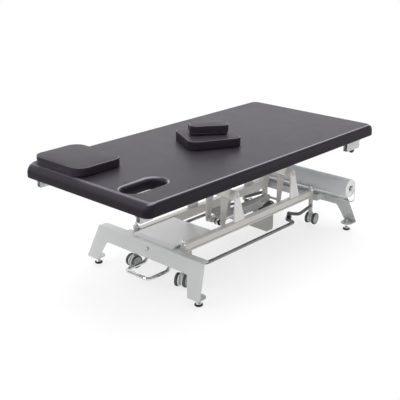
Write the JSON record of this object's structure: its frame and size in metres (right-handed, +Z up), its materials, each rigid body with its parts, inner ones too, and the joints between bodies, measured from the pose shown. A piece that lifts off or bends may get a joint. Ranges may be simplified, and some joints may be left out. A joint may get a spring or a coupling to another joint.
{
  "type": "bobath_table",
  "caption": "Electric bobath treatment table with a wide charcoal padded top, face hole, loose pads, parallelogram lift, folded sheet base, castors, foot bars and paper roll",
  "frame": {"origin": "floor level under the middle of the padded top, with the lift at its pictured height", "axes": "+X along the top from the face-hole end to the paper-roll end, +Y across to the rear long side, +Z up"},
  "size_m": [2.05, 0.97, 0.845],
  "materials": {
    "vinyl": "satin charcoal upholstery vinyl with a fine grain",
    "board": "grey-painted plywood",
    "silver": "satin silver-grey powder coat",
    "warm": "satin warm-grey powder coat",
    "chrome": "bright chrome",
    "zinc": "zinc-plated steel",
    "rubber": "matt black rubber",
    "tyre": "dark grey tread on grey hubs",
    "black": "matt black",
    "paper": "soft white couch paper"
  },
  "bodies": {
    "base": {"end_frame_near": "silver", "end_frame_far": "silver", "castor_carrier_near": "silver", "castor_carrier_far": "silver", "base_beam_front": "warm", "base_beam_rear": "warm", "cover_plate": "silver", "control_unit": "black", "drive_cradle": "silver", "roll_holder": "chrome", "frame_bolt_near": "zinc", "frame_bolt_far": "zinc", "pivot_bracket_near_front": "silver", "pivot_bracket_near_rear": "silver", "pivot_bracket_far_front": "silver", "pivot_bracket_far_rear": "silver", "foot_screw_near_front": "chrome", "foot_screw_near_rear": "chrome", "foot_screw_far_front": "chrome", "foot_screw_far_rear": "chrome"},
    "lift_near": {"lift_arm_near": "warm"},
    "lift_far": {"lift_arm_far": "warm"},
    "top": {"top_pad": "vinyl", "top_board": "board", "frame_rail_front": "silver", "frame_rail_rear": "silver", "frame_cross_near": "silver", "frame_cross_far": "silver", "pivot_cross_near": "silver", "pivot_cross_far": "silver", "rail_socket_near_front": "silver", "rail_socket_near_rear": "silver", "rail_socket_far_front": "silver", "rail_socket_far_rear": "silver"},
    "tie": {"tie_bar": "silver"},
    "push_rod": {"drive_rod": "chrome"},
    "drive": {"drive_body": "silver", "drive_motor": "black"},
    "roll": {"paper_roll": "paper", "roll_spindle": "black"},
    "bar_near": {"foot_bar_near": "chrome"},
    "bar_front": {"foot_bar_front": "chrome"},
    "bar_rear": {"foot_bar_rear": "chrome"},
    "knob_front": {"socket_knob_front": "black"},
    "knob_rear": {"socket_knob_rear": "black"},
    "pillow": {"pillow": "vinyl"},
    "side_pad": {"side_pad": "vinyl"},
    "face_plug": {"face_plug": "vinyl"},
    "foot_near_front": {"foot_pad_near_front": "rubber"},
    "castor_near_front": {"castor_fork_near_front": "zinc"},
    "wheels_near_front": {"castor_wheels_near_front": "tyre"},
    "foot_near_rear": {"foot_pad_near_rear": "rubber"},
    "castor_near_rear": {"castor_fork_near_rear": "zinc"},
    "wheels_near_rear": {"castor_wheels_near_rear": "tyre"},
    "foot_far_front": {"foot_pad_far_front": "rubber"},
    "castor_far_front": {"castor_fork_far_front": "zinc"},
    "wheels_far_front": {"castor_wheels_far_front": "tyre"},
    "foot_far_rear": {"foot_pad_far_rear": "rubber"},
    "castor_far_rear": {"castor_fork_far_rear": "zinc"},
    "wheels_far_rear": {"castor_wheels_far_rear": "tyre"}
  },
  "joints": [
    {"name": "lift", "type": "hinge", "parent": "base", "child": "lift_near", "pos_m": [-0.01, 0, 0.42], "axis": [0, 1, 0], "range_deg": [-20, 45]},
    {"name": "lift_far_pivot", "type": "hinge", "parent": "base", "child": "lift_far", "pos_m": [0.55, 0, 0.42], "axis": [0, 1, 0], "range_deg": [-20, 45]},
    {"name": "top_pivot", "type": "hinge", "parent": "lift_near", "child": "top", "pos_m": [-0.36735, 0, 0.59973], "axis": [0, 1, 0], "range_deg": [-45, 20]},
    {"name": "tie_pivot", "type": "hinge", "parent": "lift_near", "child": "tie", "pos_m": [-0.03007, 0, 0.22905], "axis": [0, 1, 0], "range_deg": [-45, 20]},
    {"name": "rod_pivot", "type": "hinge", "parent": "lift_near", "child": "push_rod", "pos_m": [-0.03007, 0, 0.22905], "axis": [0, 1, 0], "range_deg": [-45, 20]},
    {"name": "drive_stroke", "type": "slide", "parent": "push_rod", "child": "drive", "axis": [1, 0, 0], "range_m": [-0.0605, 0.1355]},
    {"name": "roll_spin", "type": "hinge", "parent": "base", "child": "roll", "pos_m": [0.838, 0, 0.31], "axis": [0, 1, 0], "continuous": true},
    {"name": "end_bar_press", "type": "hinge", "parent": "base", "child": "bar_near", "pos_m": [-0.452, 0, 0.14], "axis": [0, 1, 0], "range_deg": [-5, 5], "stiffness_Nm_per_rad": 40},
    {"name": "front_bar_press", "type": "hinge", "parent": "base", "child": "bar_front", "pos_m": [0, -0.18, 0.124], "axis": [1, 0, 0], "range_deg": [-5, 5], "stiffness_Nm_per_rad": 60},
    {"name": "rear_bar_press", "type": "hinge", "parent": "base", "child": "bar_rear", "pos_m": [0, 0.18, 0.124], "axis": [1, 0, 0], "range_deg": [-5, 5], "stiffness_Nm_per_rad": 60},
    {"name": "knob_turn_front", "type": "hinge", "parent": "top", "child": "knob_front", "pos_m": [0.91, -0.392, 0.53], "axis": [0, 0, 1], "continuous": true},
    {"name": "knob_turn_rear", "type": "hinge", "parent": "top", "child": "knob_rear", "pos_m": [0.91, 0.392, 0.53], "axis": [0, 0, 1], "continuous": true},
    {"name": "pillow_lift", "type": "slide", "parent": "top", "child": "pillow", "axis": [0, 0, 1], "range_m": [0, 0.3]},
    {"name": "side_pad_lift", "type": "slide", "parent": "top", "child": "side_pad", "axis": [0, 0, 1], "range_m": [0, 0.3]},
    {"name": "face_plug_lift", "type": "slide", "parent": "side_pad", "child": "face_plug", "axis": [0, 0, 1], "range_m": [0, 0.2]},
    {"name": "foot_turn_near_front", "type": "hinge", "parent": "base", "child": "foot_near_front", "pos_m": [-0.5895, -0.412, 0], "axis": [0, 0, 1], "continuous": true},
    {"name": "castor_swivel_near_front", "type": "hinge", "parent": "base", "child": "castor_near_front", "pos_m": [-0.477, -0.192, 0.12], "axis": [0, 0, 1], "continuous": true},
    {"name": "wheel_spin_near_front", "type": "hinge", "parent": "castor_near_front", "child": "wheels_near_front", "pos_m": [-0.49767, -0.19952, 0.05], "axis": [0.342, -0.9397, 0], "continuous": true},
    {"name": "foot_turn_near_rear", "type": "hinge", "parent": "base", "child": "foot_near_rear", "pos_m": [-0.5895, 0.412, 0], "axis": [0, 0, 1], "continuous": true},
    {"name": "castor_swivel_near_rear", "type": "hinge", "parent": "base", "child": "castor_near_rear", "pos_m": [-0.477, 0.192, 0.12], "axis": [0, 0, 1], "continuous": true},
    {"name": "wheel_spin_near_rear", "type": "hinge", "parent": "castor_near_rear", "child": "wheels_near_rear", "pos_m": [-0.49895, 0.19353, 0.05], "axis": [-0.0698, -0.9976, 0], "continuous": true},
    {"name": "foot_turn_far_front", "type": "hinge", "parent": "base", "child": "foot_far_front", "pos_m": [0.8815, -0.412, 0], "axis": [0, 0, 1], "continuous": true},
    {"name": "castor_swivel_far_front", "type": "hinge", "parent": "base", "child": "castor_far_front", "pos_m": [0.769, -0.192, 0.12], "axis": [0, 0, 1], "continuous": true},
    {"name": "wheel_spin_far_front", "type": "hinge", "parent": "castor_far_front", "child": "wheels_far_front", "pos_m": [0.79095, -0.19047, 0.05], "axis": [-0.0698, 0.9976, 0], "continuous": true},
    {"name": "foot_turn_far_rear", "type": "hinge", "parent": "base", "child": "foot_far_rear", "pos_m": [0.8815, 0.412, 0], "axis": [0, 0, 1], "continuous": true},
    {"name": "castor_swivel_far_rear", "type": "hinge", "parent": "base", "child": "castor_far_rear", "pos_m": [0.769, 0.192, 0.12], "axis": [0, 0, 1], "continuous": true},
    {"name": "wheel_spin_far_rear", "type": "hinge", "parent": "castor_far_rear", "child": "wheels_far_rear", "pos_m": [0.78967, 0.18448, 0.05], "axis": [0.342, 0.9397, 0], "continuous": true}
  ],
  "couplings": [
    {"joint": "lift_far_pivot", "follows": "lift", "ratio": 1},
    {"joint": "top_pivot", "follows": "lift", "ratio": -1},
    {"joint": "tie_pivot", "follows": "lift", "ratio": -1},
    {"joint": "rod_pivot", "follows": "lift", "ratio": -1},
    {"joint": "drive_stroke", "follows": "lift", "m_per_rad": 0.172}
  ]
}
